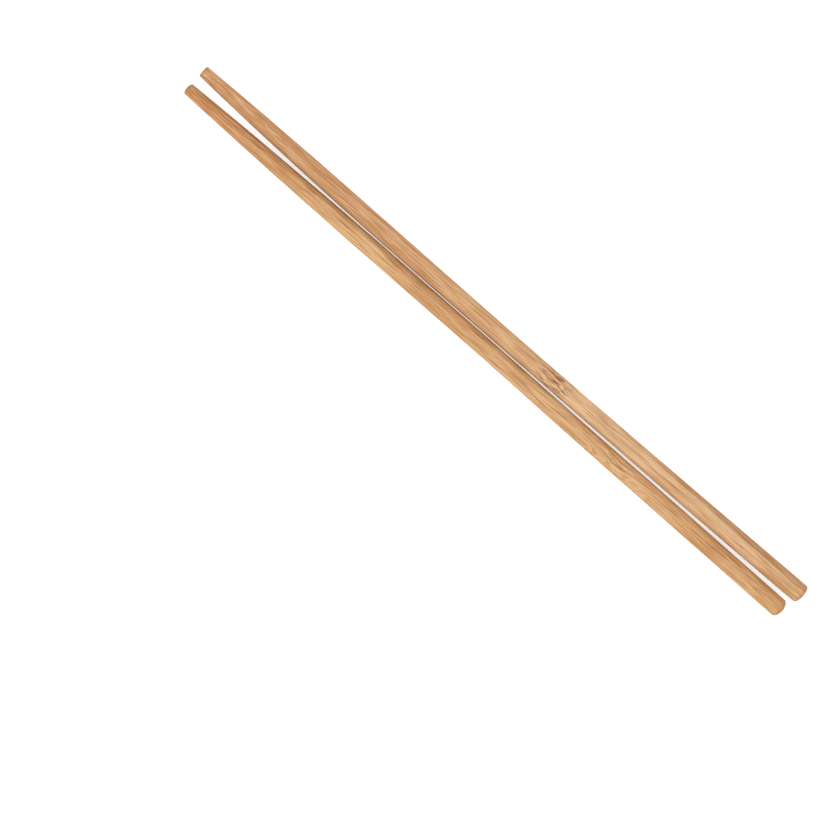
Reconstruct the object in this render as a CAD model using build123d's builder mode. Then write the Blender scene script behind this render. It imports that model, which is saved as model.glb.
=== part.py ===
"""A pair of plain round bamboo chopsticks, lying side by side on a table.

Millimetres. +X runs from the thin tips to the thick ends, +Z is up and the table is Z = 0.
The origin is under the middle of the pair. The user sits at the thick ends and looks along -X,
so the right stick is the one at +Y. Places along a stick are measured from its tip.
"""

from build123d import *
from math import cos, radians, sin
import os

# The pair
stick_length = 230.0  # nominal length that both are cut to
cutting_error = 0.7  # the left stick is this much shorter, the right one this much longer
tip_stagger = 0.3  # the right tip lies this far back from the left one
middle_gap = 0.33  # clear space between the two sticks half-way along


class LeftStick:
    """Nearly straight, with a small sideways jog where the fibres swerve at its culm node."""

    side = -1
    tip_back = 0.0
    length = stick_length - cutting_error
    tip_diameter = 3.60
    shoulder_diameter = 5.50  # where the thinning of the tip has run out
    waist_diameter = 5.46
    butt_diameter = 5.71
    taper_length = 72.0
    waist_at = 102.0
    full_from = 200.0  # from here on the shank is as thick as its butt
    splay = -0.10  # how much further out the thick end lies than the tip
    bow = 0.24  # how far both ends curve away from the other stick
    jog = 0.28
    jog_from = 110.0
    jog_length = 49.0
    tip_dome = 0.45
    tip_rounding = 0.30
    butt_dome = 1.05
    butt_rounding = 0.45


class RightStick:
    """Bowed a little towards the left one, with a narrow flat along the top of its thick half."""

    side = 1
    tip_back = tip_stagger
    length = stick_length + cutting_error
    tip_diameter = 3.60
    shoulder_diameter = 5.68
    waist_diameter = 5.53
    butt_diameter = 5.91
    taper_length = 65.0
    waist_at = 128.0
    full_from = 214.0
    splay = 0.33
    bow = 0.77
    jog = 0.0
    jog_from = 110.0
    jog_length = 49.0
    tip_dome = 0.12
    tip_rounding = 0.45
    butt_dome = 0.75
    butt_rounding = 0.45


# The flat, left where the bamboo wall was a little thinner than the stick
flat_depth = 0.16  # at the thick end
flat_start = 148.0  # the flat is level with the round skin here
flat_tilt = 46.0  # degrees that the flat faces outwards from straight up

# Round sections that each stick's skin runs through
section_count = 19


def ease(share):
    """Smooth step from 0 to 1, level at both ends."""
    share = min(max(share, 0.0), 1.0)
    return share * share * (3.0 - 2.0 * share)


def radius(stick, along):
    """Thin tip, swelling in a parabola to the shoulder, then a slight waist and the full butt."""
    to_waist = ease((along - stick.taper_length) / (stick.waist_at - stick.taper_length))
    to_butt = ease((along - stick.waist_at) / (stick.full_from - stick.waist_at))
    thinning = max(1.0 - along / stick.taper_length, 0.0) ** 2
    diameter = stick.shoulder_diameter
    diameter += (stick.waist_diameter - stick.shoulder_diameter) * to_waist
    diameter += (stick.butt_diameter - stick.waist_diameter) * to_butt
    diameter -= (stick.shoulder_diameter - stick.tip_diameter) * thinning
    return diameter / 2.0


def sideways(stick, along):
    """Y of the centre line, measured from the middle of the gap between the sticks."""
    share = along / stick.length
    reach = middle_gap / 2.0 + radius(stick, stick.length / 2.0)
    reach += stick.splay * (share - 0.5)
    reach += stick.bow * (2.0 * share - 1.0) ** 2
    reach += stick.jog * ease((along - stick.jog_from) / stick.jog_length)
    return stick.side * reach


def stations(stick):
    """Where the sections stand: evenly spaced between the two domed ends."""
    first = stick.tip_dome + stick.tip_rounding
    last = stick.length - stick.butt_dome - stick.butt_rounding
    step = (last - first) / (section_count - 1)
    return [first + step * number for number in range(section_count)]


def resting_line(stick):
    """Height of the centre line at the tip, and its rise per millimetre along the stick.

    The stick touches the table at two sections, one on each side of its middle, and
    every other section is clear of it. There is always one such pair of sections.
    """
    places = stations(stick)
    middle = section_count // 2
    for thin in places[:middle]:
        for thick in places[middle:]:
            rise = (radius(stick, thick) - radius(stick, thin)) / (thick - thin)
            start = radius(stick, thin) - rise * thin
            if all(start + rise * along > radius(stick, along) - 1e-6 for along in places):
                return start, rise


# The origin goes under the middle of the pair's outline
pair_length = max(stick.tip_back + stick.length for stick in (LeftStick, RightStick))
left_edge = min(sideways(LeftStick, s) - radius(LeftStick, s) for s in stations(LeftStick))
right_edge = max(sideways(RightStick, s) + radius(RightStick, s) for s in stations(RightStick))
pair_middle = (left_edge + right_edge) / 2.0


def centre(stick, along):
    """Point of the stick's centre line."""
    start, rise = resting_line(stick)
    x = stick.tip_back + along - pair_length / 2.0
    return Vector(x, sideways(stick, along) - pair_middle, start + rise * along)


def domed_end(place, end_radius, dome, rounding, outward):
    """Last bit of a stick: a short straight stub, a rounded corner and a shallow spherical dome.

    outward is +1 towards +X and -1 towards -X.
    """
    ball = (end_radius**2 + dome**2) / (2.0 * dome)
    half_section = Plane(origin=place, x_dir=(outward, 0, 0), z_dir=(0, outward, 0))
    with BuildPart(mode=Mode.PRIVATE) as end:
        with BuildSketch(half_section) as half:
            with BuildLine():
                Polyline((rounding + dome, 0), (0, 0), (0, end_radius), (rounding, end_radius))
                RadiusArc((rounding, end_radius), (rounding + dome, 0), ball)
            make_face()
            corner = half.vertices().sort_by_distance((rounding, end_radius, 0))[0]
            fillet(corner, rounding)
        revolve(axis=Axis(place, (1, 0, 0)))
    return end.part


def turned_stick(stick):
    """The shank as one smooth skin over its round sections, closed by two domed ends."""
    places = [centre(stick, along) for along in stations(stick)]
    radii = [radius(stick, along) for along in stations(stick)]
    with BuildPart() as body:
        for place, section_radius in zip(places, radii):
            # Each section's own x points down, so that the skin's seam lies underneath
            with BuildSketch(Plane(origin=place, x_dir=(0, 0, -1), z_dir=(1, 0, 0))):
                Circle(section_radius)
        loft()
        add(domed_end(places[0], radii[0], stick.tip_dome, stick.tip_rounding, -1))
        add(domed_end(places[-1], radii[-1], stick.butt_dome, stick.butt_rounding, 1))
    return body.part


with BuildPart() as left_chopstick:
    add(turned_stick(LeftStick))

# The flat's plane runs from the skin at its start to its full depth at the thick end
flat_normal = Vector(0, sin(radians(flat_tilt)), cos(radians(flat_tilt)))
flat_thin_end = centre(RightStick, flat_start) + flat_normal * radius(RightStick, flat_start)
butt_skin = centre(RightStick, RightStick.length) + flat_normal * RightStick.butt_diameter / 2.0
flat_thick_end = butt_skin - flat_normal * flat_depth
flat_run = (flat_thick_end - flat_thin_end).normalized()
flat_across = flat_normal.cross(flat_run)
flat_face = Plane(origin=flat_thin_end, x_dir=flat_run, z_dir=flat_run.cross(flat_across))

with BuildPart() as right_chopstick:
    add(turned_stick(RightStick))
    with BuildSketch(flat_face):
        Rectangle(
            RightStick.length, 2.0 * RightStick.butt_diameter, align=(Align.MIN, Align.CENTER)
        )
    extrude(amount=RightStick.butt_diameter, mode=Mode.SUBTRACT)

left_chopstick.part.label = "left_chopstick"
right_chopstick.part.label = "right_chopstick"
os.makedirs("parts", exist_ok=True)
export_step(left_chopstick.part, "parts/left_chopstick.step")
export_step(right_chopstick.part, "parts/right_chopstick.step")
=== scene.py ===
from math import pi, radians

import bpy
import numpy as np
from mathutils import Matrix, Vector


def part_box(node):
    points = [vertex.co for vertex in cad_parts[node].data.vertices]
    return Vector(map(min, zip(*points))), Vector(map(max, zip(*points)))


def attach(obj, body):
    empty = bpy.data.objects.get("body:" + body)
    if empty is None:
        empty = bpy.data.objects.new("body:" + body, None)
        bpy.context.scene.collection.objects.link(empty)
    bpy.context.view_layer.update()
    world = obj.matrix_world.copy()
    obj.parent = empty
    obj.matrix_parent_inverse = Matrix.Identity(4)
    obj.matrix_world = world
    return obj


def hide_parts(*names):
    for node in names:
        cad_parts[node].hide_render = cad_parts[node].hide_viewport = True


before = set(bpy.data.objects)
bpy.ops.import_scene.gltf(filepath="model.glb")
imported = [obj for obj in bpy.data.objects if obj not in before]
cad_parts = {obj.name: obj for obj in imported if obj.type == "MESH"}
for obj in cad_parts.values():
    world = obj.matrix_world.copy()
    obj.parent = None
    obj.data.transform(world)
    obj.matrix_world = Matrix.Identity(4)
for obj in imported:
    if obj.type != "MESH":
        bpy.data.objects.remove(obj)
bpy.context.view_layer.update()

# ---------------------------------------------------------------- left chopstick
# One splint of bamboo, turned round by a rod cutter, thinned at the tip and left bare. Both
# ends are tumbled to a soft dome. Its long fibre bundles show as fine brown and pale lines.

MM = 0.001
STICK_LENGTH = 230.0 * MM
CUTTING_ERROR = 0.7 * MM
MIDDLE_GAP = 0.33 * MM

# How finely a stick's skin is divided, lengthwise, round it, and over each end
RINGS = 560
ROUND = 144
CAP_RINGS = 14


class LeftStick:
    """Nearly straight, with a small sideways jog where the fibres swerve at its culm node."""

    node = "left_chopstick"
    side = -1
    length = STICK_LENGTH - CUTTING_ERROR
    tip = 3.60 * MM
    shoulder = 5.50 * MM
    waist = 5.46 * MM
    butt = 5.71 * MM
    taper = 72 * MM
    waist_at = 102 * MM
    full_from = 200 * MM
    splay = -0.10 * MM
    bow = 0.24 * MM
    jog = 0.28 * MM
    tip_dome = 0.45 * MM
    tip_rounding = 0.30 * MM
    butt_dome = 1.05 * MM
    butt_rounding = 0.45 * MM
    flat_depth = 0.0
    seed = 11


JOG_FROM = 110 * MM
JOG_LENGTH = 49 * MM


def ease(share):
    """Smooth step from 0 to 1, level at both ends."""
    share = np.clip(share, 0.0, 1.0)
    return share * share * (3.0 - 2.0 * share)


def stick_radius(stick, along):
    """Thin tip, swelling in a parabola to the shoulder, then a slight waist and the full butt."""
    to_waist = ease((along - stick.taper) / (stick.waist_at - stick.taper))
    to_butt = ease((along - stick.waist_at) / (stick.full_from - stick.waist_at))
    thinning = np.clip(1.0 - along / stick.taper, 0.0, None) ** 2
    diameter = stick.shoulder + (stick.waist - stick.shoulder) * to_waist
    diameter = diameter + (stick.butt - stick.waist) * to_butt
    return (diameter - (stick.shoulder - stick.tip) * thinning) / 2.0


def stick_sideways(stick, along):
    """Y of the centre line, measured from the middle of the gap between the sticks."""
    share = along / stick.length
    reach = MIDDLE_GAP / 2.0 + stick_radius(stick, stick.length / 2.0)
    reach = reach + stick.splay * (share - 0.5) + stick.bow * (2.0 * share - 1.0) ** 2
    reach = reach + stick.jog * ease((along - JOG_FROM) / JOG_LENGTH)
    return stick.side * reach


CORNER_CUT = 0.75  # the rounded corner takes this share of its radius off the end's rim
CROWN_START = 0.93  # the dome begins this far out on the last ring of the corner


def end_profile(end_radius, dome, rounding):
    """Half outline of a domed end: distances out from the last full section, and radii."""
    corner = np.linspace(0.0, 1.0, CAP_RINGS // 2, endpoint=False)
    corner_out = rounding * np.sin(corner * pi / 2)
    corner_radii = end_radius - rounding * (1 - np.cos(corner * pi / 2)) * CORNER_CUT
    crown_radii = np.linspace(corner_radii[-1] * CROWN_START, 0.0, CAP_RINGS)
    crown_out = rounding + dome * (1 - (crown_radii / end_radius) ** 2)
    return (
        np.concatenate([corner_out, crown_out]),
        np.concatenate([corner_radii, crown_radii]),
    )


GROOVE_COUNT = 46
GROOVE_FADE = 0.1  # share of its run over which a groove deepens and dies out


def fibre_relief(stick, along, angle, rng):
    """Depth of the fine grooves between fibre bundles, which run the length of the stick."""
    relief = np.zeros_like(along)
    for _ in range(GROOVE_COUNT):
        at = rng.uniform(0, 2 * pi)
        drift = rng.uniform(-0.25, 0.25)
        start = rng.uniform(-0.1, 0.9) * stick.length
        run = rng.uniform(0.12, 0.5) * stick.length
        width = rng.uniform(0.018, 0.04)
        depth = rng.uniform(0.006, 0.018) * MM
        off = (angle - at - drift * (along - start) / stick.length + pi) % (2 * pi) - pi
        fade = GROOVE_FADE * run
        here = ease((along - start) / fade) * ease((start + run - along) / fade)
        relief -= depth * here * np.exp(-((off / width) ** 2))
    return relief


def cut_flat(stick, radii, relief, full, along, turn):
    """Radii with the narrow flat planed off, deepening from flat_start to the thick end."""
    share = np.clip((along - stick.flat_start) / (stick.length - stick.flat_start), 0, 1)
    facing = np.cos(turn - stick.flat_turn)
    reach = (full - stick.flat_depth * share) / np.clip(facing, 0.2, None)
    planed = np.minimum(radii, reach + relief)
    return np.where((facing > 0.3) & (share > 0), planed, radii)


# A stick touches the table at two places: just short of its shoulder and near its thick end
THIN_REST = 62 * MM
THICK_REST = 0.85  # share of the stick's length
CLEARANCE = 0.004 * MM


def stick_points(stick):
    """Every ring of the stick's skin, from the tip's pole to the butt's, as x, y and z grids."""
    rng = np.random.default_rng(stick.seed)
    box_low, box_high = (np.array(corner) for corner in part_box(stick.node))
    first = stick.tip_dome + stick.tip_rounding
    last = stick.length - stick.butt_dome - stick.butt_rounding
    shank = np.linspace(first, last, RINGS)
    tip_out, tip_radii = end_profile(
        stick_radius(stick, first), stick.tip_dome, stick.tip_rounding
    )
    butt_out, butt_radii = end_profile(
        stick_radius(stick, last), stick.butt_dome, stick.butt_rounding
    )
    along = np.concatenate([(first - tip_out)[::-1], shank[1:-1], last + butt_out])
    ring_radii = np.concatenate(
        [tip_radii[::-1], stick_radius(stick, shank[1:-1]), butt_radii]
    )

    turn = np.linspace(0, 2 * pi, ROUND, endpoint=False) - pi / 2
    grid_along, grid_turn = np.meshgrid(along, turn, indexing="ij")
    full = stick_radius(stick, np.clip(grid_along, first, last))
    relief = fibre_relief(stick, grid_along, grid_turn, rng)
    relief = relief * np.clip(ring_radii[:, None] / full, 0, 1)
    radii = ring_radii[:, None] + relief
    if stick.flat_depth:
        radii = cut_flat(stick, radii, relief, full, grid_along, grid_turn)

    lower_side = (stick_sideways(stick, shank) - stick_radius(stick, shank)).min()
    upper_side = (stick_sideways(stick, shank) + stick_radius(stick, shank)).max()
    to_box = (box_low[1] + box_high[1]) / 2 - (lower_side + upper_side) / 2
    centre_y = stick_sideways(stick, along) + to_box

    thick_rest = THICK_REST * stick.length
    thin, thick = stick_radius(stick, THIN_REST), stick_radius(stick, thick_rest)
    rise = (thick - thin) / (thick_rest - THIN_REST)
    centre_z = thin + rise * (along - THIN_REST) + CLEARANCE

    xs = np.broadcast_to((box_low[0] + along)[:, None], radii.shape)
    ys = centre_y[:, None] + radii * np.cos(grid_turn)
    zs = centre_z[:, None] + radii * np.sin(grid_turn)
    return xs, ys, zs


BAKE_BANDS = 10  # the long skin is cut into this many bands, stacked for baking
BAND_MARGIN = 0.02  # clear share on each long side of a band
SHEET_MARGIN = 0.01  # clear share at the two short ends


def lay_out_bands(mesh, rows):
    """A second, flat layout of the skin, so that its colours bake at an even scale."""
    loops = np.zeros(len(mesh.loops), dtype=np.int32)
    mesh.loops.foreach_get("vertex_index", loops)
    sizes = np.zeros(len(mesh.polygons), dtype=np.int32)
    mesh.polygons.foreach_get("loop_total", sizes)
    face_of = np.repeat(np.arange(len(sizes)), sizes)

    # The tip's pole is one row before the first ring, and the butt's one row after the last
    on_ring = loops < rows * ROUND
    row = np.where(on_ring, loops // ROUND, np.where(loops == rows * ROUND, -1, rows))
    column = np.where(on_ring, loops % ROUND, 0)
    low_row = np.full(len(sizes), 10**6)
    np.minimum.at(low_row, face_of, row)
    high_column = np.zeros(len(sizes), dtype=np.int64)
    np.maximum.at(high_column, face_of[on_ring], column[on_ring])
    wrapped = (high_column[face_of] == ROUND - 1) & (column == 0) & on_ring
    column = np.where(wrapped, ROUND, column)

    per_band = (rows + 2) / BAKE_BANDS
    band = np.clip((low_row[face_of] + 1) // per_band, 0, BAKE_BANDS - 1)
    u = (row + 1 - band * per_band) / (per_band + 1) * (1 - 2 * SHEET_MARGIN) + SHEET_MARGIN
    v = (band + BAND_MARGIN + (1 - 2 * BAND_MARGIN) * column / ROUND) / BAKE_BANDS
    layer = mesh.uv_layers.new(name="OFBake")
    layer.data.foreach_set("uv", np.stack([u, v], axis=-1).ravel().astype(np.float32))


def build_stick(stick):
    """The skin as one closed mesh: rings of quads, with a fan of triangles at each pole."""
    xs, ys, zs = stick_points(stick)
    rings = np.stack([xs[1:-1], ys[1:-1], zs[1:-1]], axis=-1).reshape(-1, 3)
    poles = [(xs[end, 0], ys[end].mean(), zs[end].mean()) for end in (0, -1)]
    rows = len(xs) - 2
    tip_pole, butt_pole = rows * ROUND, rows * ROUND + 1

    here = np.arange(ROUND)
    beside = (here + 1) % ROUND
    row_start = np.arange(rows - 1)[:, None] * ROUND
    a, b = row_start + here, row_start + beside
    quads = np.stack([a, b, b + ROUND, a + ROUND], axis=-1).reshape(-1, 4)
    last_row = (rows - 1) * ROUND
    faces = quads.tolist()
    faces += [(tip_pole, int(beside[i]), i) for i in range(ROUND)]
    faces += [(butt_pole, last_row + i, int(last_row + beside[i])) for i in range(ROUND)]

    mesh = bpy.data.meshes.new(stick.node + "_skin")
    mesh.from_pydata(np.concatenate([rings, poles]).tolist(), [], faces)
    mesh.validate()
    mesh.update()
    mesh.shade_smooth()
    piece = bpy.data.objects.new(stick.node + "_bamboo", mesh)
    bpy.context.scene.collection.objects.link(piece)
    lay_out_bands(mesh, rows)
    return piece


def add_math(tree, kind, *values):
    """A Math node: each value is a number or another node's output."""
    node = tree.nodes.new("ShaderNodeMath")
    node.operation = kind
    for socket, value in zip(node.inputs, values):
        if isinstance(value, (int, float)):
            socket.default_value = value
        else:
            tree.links.new(value, socket)
    return node.outputs[0]


def multiply(tree, *values):
    """The product of two or more values."""
    product = values[0]
    for value in values[1:]:
        product = add_math(tree, "MULTIPLY", product, value)
    return product


def add_ramp(tree, value, low, high, to_low=0.0, to_high=1.0):
    """A smooth step from to_low to to_high as the value goes from low to high."""
    node = tree.nodes.new("ShaderNodeMapRange")
    node.interpolation_type = "SMOOTHSTEP"
    tree.links.new(value, node.inputs["Value"])
    node.inputs["From Min"].default_value = low
    node.inputs["From Max"].default_value = high
    node.inputs["To Min"].default_value = to_low
    node.inputs["To Max"].default_value = to_high
    return node.outputs["Result"]


def add_mix(tree, share, first, second):
    """Colour between the first and the second: each is a plain colour or a node's output."""
    node = tree.nodes.new("ShaderNodeMix")
    node.data_type = "RGBA"
    tree.links.new(share, node.inputs["Factor"])
    for name, value in (("A", first), ("B", second)):
        socket = next(s for s in node.inputs if s.name == name and s.type == "RGBA")
        if isinstance(value, tuple):
            socket.default_value = (*value, 1.0)
        else:
            tree.links.new(value, socket)
    return next(s for s in node.outputs if s.type == "RGBA")


def srgb(red, green, blue):
    """A colour written from 0 to 255 as the linear light that a shader takes."""
    return tuple(((c / 255 + 0.055) / 1.055) ** 2.4 for c in (red, green, blue))


def fibre_group():
    """Fibre bundles as long rods through the wood: dashes on the sides, dots on the ends."""
    group = bpy.data.node_groups.new("Bamboo fibres", "ShaderNodeTree")
    for name, kind, way in (
        ("Place", "NodeSocketVector", "INPUT"),
        ("Stretch", "NodeSocketFloat", "INPUT"),
        ("Fineness", "NodeSocketFloat", "INPUT"),
        ("Dark", "NodeSocketFloat", "OUTPUT"),
        ("Pale", "NodeSocketFloat", "OUTPUT"),
        ("Height", "NodeSocketFloat", "OUTPUT"),
    ):
        group.interface.new_socket(name=name, in_out=way, socket_type=kind)
    given, out = group.nodes.new("NodeGroupInput"), group.nodes.new("NodeGroupOutput")
    split = group.nodes.new("ShaderNodeSeparateXYZ")
    squeezed = group.nodes.new("ShaderNodeCombineXYZ")
    group.links.new(given.outputs["Place"], split.inputs[0])
    lengthwise = multiply(group, split.outputs[0], given.outputs["Stretch"])
    group.links.new(lengthwise, squeezed.inputs[0])
    group.links.new(split.outputs[1], squeezed.inputs[1])
    group.links.new(split.outputs[2], squeezed.inputs[2])
    bundles = group.nodes.new("ShaderNodeTexNoise")
    bundles.inputs["Detail"].default_value = 1.5
    group.links.new(squeezed.outputs[0], bundles.inputs["Vector"])
    group.links.new(given.outputs["Fineness"], bundles.inputs["Scale"])
    amount = bundles.outputs["Fac"]
    group.links.new(add_ramp(group, amount, 0.50, 0.60), out.inputs["Dark"])
    group.links.new(add_ramp(group, amount, 0.47, 0.38), out.inputs["Pale"])
    group.links.new(amount, out.inputs["Height"])
    return group


fibres = fibre_group()

SHANK_RADIUS = 2.85 * MM
SWERVE_REACH = 9.0 * MM  # how far from the culm node the fibres still bend
EULER = 2.718


class LeftBamboo:
    """Colours and marks of the left stick. Places are along X, shares are from 0 to 1."""

    wood = srgb(210, 157, 104)
    pale = srgb(229, 184, 133)
    line = srgb(162, 104, 54)
    brown = srgb(140, 84, 46)
    tip_tone = srgb(198, 134, 80)
    tip_tone_from = -50 * MM
    tip_tone_full = -116 * MM
    node_at = 50 * MM
    swerve = 2.3 * MM
    node_dashes = 0.25
    # Share of brown on the +Y side at the thick and thin ends: part real stain, part painted
    # shade and painted gap shadow
    stain_and_shade_thick_end = 0.14
    stain_and_shade_thin_end = 0.80
    # Whether to paint shade over the flat and a highlight on its ridge
    flat_shade_and_ridge_highlight = False


def bamboo_material(stick, look, name):
    """Bare bamboo, as a solid pattern of fibres that runs through the whole stick."""
    material = bpy.data.materials.new(name)
    material.use_nodes = True
    tree = material.node_tree
    shader = tree.nodes["Principled BSDF"]
    box_low, box_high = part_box(stick.node)

    # across goes from -1 on the side of the left stick's outer edge to 1 on the other side
    split = tree.nodes.new("ShaderNodeSeparateXYZ")
    place = tree.nodes.new("ShaderNodeTexCoord").outputs["Object"]
    tree.links.new(place, split.inputs[0])
    x, y, z = split.outputs
    from_middle = add_math(tree, "SUBTRACT", y, (box_low[1] + box_high[1]) / 2)
    across = multiply(tree, from_middle, 1 / SHANK_RADIUS)

    # The fibres swerve in a smooth dip as they pass the culm node
    from_node = add_math(tree, "SUBTRACT", x, look.node_at)
    from_node = multiply(tree, from_node, 1 / SWERVE_REACH)
    falling = multiply(tree, -1.0, multiply(tree, from_node, from_node))
    bell = add_math(tree, "POWER", EULER, falling)
    dip = multiply(tree, bell, add_ramp(tree, across, 1.0, -0.9), look.swerve)
    bent = tree.nodes.new("ShaderNodeCombineXYZ")
    tree.links.new(x, bent.inputs[0])
    tree.links.new(add_math(tree, "ADD", y, dip), bent.inputs[1])
    tree.links.new(z, bent.inputs[2])

    def fibre_layer(stretch, fineness):
        node = tree.nodes.new("ShaderNodeGroup")
        node.node_tree = fibres
        tree.links.new(bent.outputs[0], node.inputs["Place"])
        node.inputs["Stretch"].default_value = stretch
        node.inputs["Fineness"].default_value = fineness
        return node.outputs

    fine = fibre_layer(0.022, 5600.0)
    broad = fibre_layer(0.014, 2700.0)
    dashes = fibre_layer(0.11, 3100.0)

    # Ground: clouds of paler wood, a browner thin end, and brown on the +Y side that is partly a
    # stain, strongest toward the thin end, and partly painted shade: the side turned from the
    # lamp, and on the left stick the painted shadow in the gap beside the right stick
    cloud = tree.nodes.new("ShaderNodeTexNoise")
    cloud.inputs["Scale"].default_value = 60.0
    cloud.inputs["Detail"].default_value = 3.0
    tree.links.new(bent.outputs[0], cloud.inputs["Vector"])
    patches = add_ramp(tree, cloud.outputs["Fac"], 0.35, 0.65)
    ground = add_mix(tree, patches, look.wood, look.pale)
    toward_tip = add_ramp(tree, x, look.tip_tone_from, look.tip_tone_full)
    ground = add_mix(tree, toward_tip, ground, look.tip_tone)
    # Painted shade with stain: the +Y side darkens toward brown, more toward the thin end
    stain_and_shade_side = add_ramp(tree, across, 0.25, 1.05)
    lengthwise = add_ramp(
        tree, x, 10 * MM, -90 * MM, look.stain_and_shade_thick_end, look.stain_and_shade_thin_end
    )
    ground = add_mix(tree, multiply(tree, stain_and_shade_side, lengthwise), ground, look.brown)

    # Brown fibre lines stand closer together on the outer side of the culm
    crowd = add_ramp(tree, across, -1.0, 0.8, 0.52, 0.76)
    ground = add_mix(tree, multiply(tree, fine["Dark"], crowd), ground, look.line)
    ground = add_mix(tree, multiply(tree, broad["Dark"], 0.34), ground, look.line)
    ground = add_mix(tree, multiply(tree, fine["Pale"], 0.62), ground, look.pale)
    ground = add_mix(tree, multiply(tree, broad["Pale"], 0.26), ground, look.pale)

    # Short darker dashes where the culm node crosses
    entering = add_ramp(tree, x, look.node_at - 7 * MM, look.node_at - 2 * MM)
    leaving = add_ramp(tree, x, look.node_at + 8 * MM, look.node_at + 3 * MM)
    near_node = multiply(tree, entering, leaving, look.node_dashes)
    ground = add_mix(tree, multiply(tree, dashes["Dark"], near_node), ground, look.brown)

    if look.flat_shade_and_ridge_highlight:
        # Painted highlight: a pale line along the ridge at the edge of the flat. Painted shade: a
        # darker band outside it, over the flat, which tilts away from the lamp
        thick_half = add_ramp(tree, x, 30 * MM, 78 * MM)
        # Painted shade over the flat
        band = multiply(tree, add_ramp(tree, across, 0.38, 0.52), thick_half, 0.32)
        ground = add_mix(tree, band, ground, look.brown)
        # Painted highlight along the ridge of the flat
        rising = add_ramp(tree, across, 0.24, 0.33)
        dropping = add_ramp(tree, across, 0.46, 0.37)
        ridge_painted_highlight = multiply(tree, rising, dropping, thick_half, 0.6)
        ground = add_mix(tree, ridge_painted_highlight, ground, look.pale)

    # The cut ends and their rims are a little more orange
    butt_rim = add_ramp(
        tree, x, box_high[0] - 1.6 * MM, box_high[0] - 0.5 * MM, 0.0, 0.35
    )
    tip_rim = add_ramp(tree, x, box_low[0] + 1.2 * MM, box_low[0] + 0.2 * MM, 0.0, 0.45)
    rims = add_math(tree, "MAXIMUM", butt_rim, tip_rim)
    ground = add_mix(tree, rims, ground, look.line)
    tree.links.new(ground, shader.inputs["Base Color"])

    roughness = add_ramp(tree, broad["Height"], 0.3, 0.7, 0.52, 0.66)
    tree.links.new(roughness, shader.inputs["Roughness"])
    shader.inputs["Specular IOR Level"].default_value = 0.32
    bump = tree.nodes.new("ShaderNodeBump")
    bump.inputs["Strength"].default_value = 0.35
    bump.inputs["Distance"].default_value = 0.05 * MM
    tree.links.new(fine["Height"], bump.inputs["Height"])
    tree.links.new(bump.outputs["Normal"], shader.inputs["Normal"])
    return material


left_stick = build_stick(LeftStick)
left_stick.data.materials.append(bamboo_material(LeftStick, LeftBamboo, "Bamboo left"))
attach(left_stick, "root")
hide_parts("left_chopstick")


# ---------------------------------------------------------------- right chopstick
# The other splint of the pair, bowed a little and paler at its thick end. Its bamboo wall was
# a little thin there, so the cutter left a narrow flat, and a culm node crosses its middle.


class RightStick:
    """Bowed a little towards the left one, with the flat along the top of its thick half."""

    node = "right_chopstick"
    side = 1
    length = STICK_LENGTH + CUTTING_ERROR
    tip = 3.60 * MM
    shoulder = 5.68 * MM
    waist = 5.53 * MM
    butt = 5.91 * MM
    taper = 65 * MM
    waist_at = 128 * MM
    full_from = 214 * MM
    splay = 0.33 * MM
    bow = 0.77 * MM
    jog = 0.0
    tip_dome = 0.12 * MM
    tip_rounding = 0.45 * MM
    butt_dome = 0.75 * MM
    butt_rounding = 0.45 * MM
    flat_depth = 0.16 * MM
    flat_start = 148 * MM
    flat_turn = radians(90 - 46)  # the flat faces 46 degrees outwards from straight up
    seed = 23


class RightBamboo:
    """Colours and marks of the right stick, which is paler."""

    wood = srgb(216, 168, 119)
    pale = srgb(234, 194, 150)
    line = srgb(170, 114, 66)
    brown = srgb(146, 92, 54)
    tip_tone = srgb(205, 149, 98)
    tip_tone_from = 30 * MM
    tip_tone_full = -60 * MM
    node_at = 20 * MM
    swerve = 0.3 * MM
    node_dashes = 0.95
    # Share of brown on the +Y side at the thick and thin ends: part real stain, part painted
    # shade on the side turned from the lamp
    stain_and_shade_thick_end = 0.10
    stain_and_shade_thin_end = 0.35
    # Paints shade over the flat and a highlight on its ridge
    flat_shade_and_ridge_highlight = True


right_stick = build_stick(RightStick)
right_stick.data.materials.append(bamboo_material(RightStick, RightBamboo, "Bamboo right"))
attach(right_stick, "root")
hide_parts("right_chopstick")


# ---------------------------------------------------------------- table top
# A plain matt white surface that the pair lies on. It takes the soft shadow and nothing else.

FLOOR_SIZE = 6.0
FLOOR_DROP = 0.05 * MM
FLOOR_GLOW = 0.66

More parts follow.
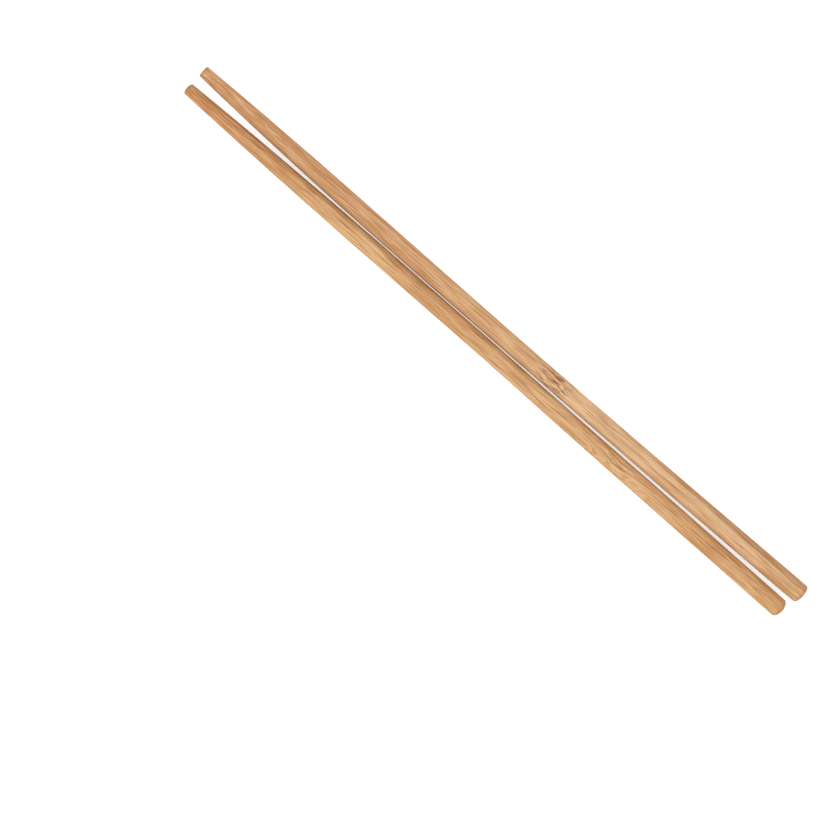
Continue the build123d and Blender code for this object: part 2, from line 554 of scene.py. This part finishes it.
bpy.ops.mesh.primitive_plane_add(size=FLOOR_SIZE, location=(0, 0, -FLOOR_DROP))
floor = bpy.context.object
floor.name = "floor"
floor_material = bpy.data.materials.new("White table")
floor_material.use_nodes = True
floor_tree = floor_material.node_tree
floor_shader = floor_tree.nodes["Principled BSDF"]
floor_shader.inputs["Base Color"].default_value = (0.93, 0.93, 0.93, 1.0)
floor_shader.inputs["Roughness"].default_value = 0.9
floor_shader.inputs["Specular IOR Level"].default_value = 0.1
floor_shader.inputs["Emission Color"].default_value = (1.0, 1.0, 1.0, 1.0)
light_path = floor_tree.nodes.new("ShaderNodeLightPath")
glow = multiply(floor_tree, light_path.outputs["Is Camera Ray"], FLOOR_GLOW)
floor_tree.links.new(glow, floor_shader.inputs["Emission Strength"])
floor.data.materials.append(floor_material)


# ---------------------------------------------------------------- studio light
# A large white dome with one broad soft lamp from the -Y side, as over a product table.

world = bpy.data.worlds.new("Studio")
bpy.context.scene.world = world
world.use_nodes = True
dome = world.node_tree.nodes["Background"]
dome.inputs["Color"].default_value = (1.0, 1.0, 1.0, 1.0)
dome.inputs["Strength"].default_value = 0.93

lamp_data = bpy.data.lights.new("soft_key", "AREA")
lamp_data.energy = 2.4
lamp_data.size = 0.9
lamp = bpy.data.objects.new("soft_key", lamp_data)
lamp.location = (-0.2, -0.75, 1.1)
lamp.rotation_euler = (radians(34), 0, radians(-15))
bpy.context.scene.collection.objects.link(lamp)


# ---------------------------------------------------------------- camera
# It looks straight down through a long lens, turned so that the sticks run corner to corner,
# with the pair up and to the right of the middle of the frame.

VIEW_WIDTH = 242.87 * MM
VIEW_MIDDLE = (-1.40 * MM, -31.25 * MM)
CAMERA_HEIGHT = 2.4
STICK_MIDDLE_HEIGHT = 3 * MM
CAMERA_TURN = radians(41.2745)
SENSOR_WIDTH = 36.0

camera_data = bpy.data.cameras.new("camera")
camera_data.sensor_width = SENSOR_WIDTH
camera_data.lens = SENSOR_WIDTH * (CAMERA_HEIGHT - STICK_MIDDLE_HEIGHT) / VIEW_WIDTH
camera_data.clip_end = 10.0
camera = bpy.data.objects.new("camera", camera_data)
camera.location = (*VIEW_MIDDLE, CAMERA_HEIGHT)
camera.rotation_euler = (0, 0, CAMERA_TURN)
bpy.context.scene.collection.objects.link(camera)
bpy.context.scene.camera = camera
bpy.context.scene.view_settings.view_transform = "Standard"
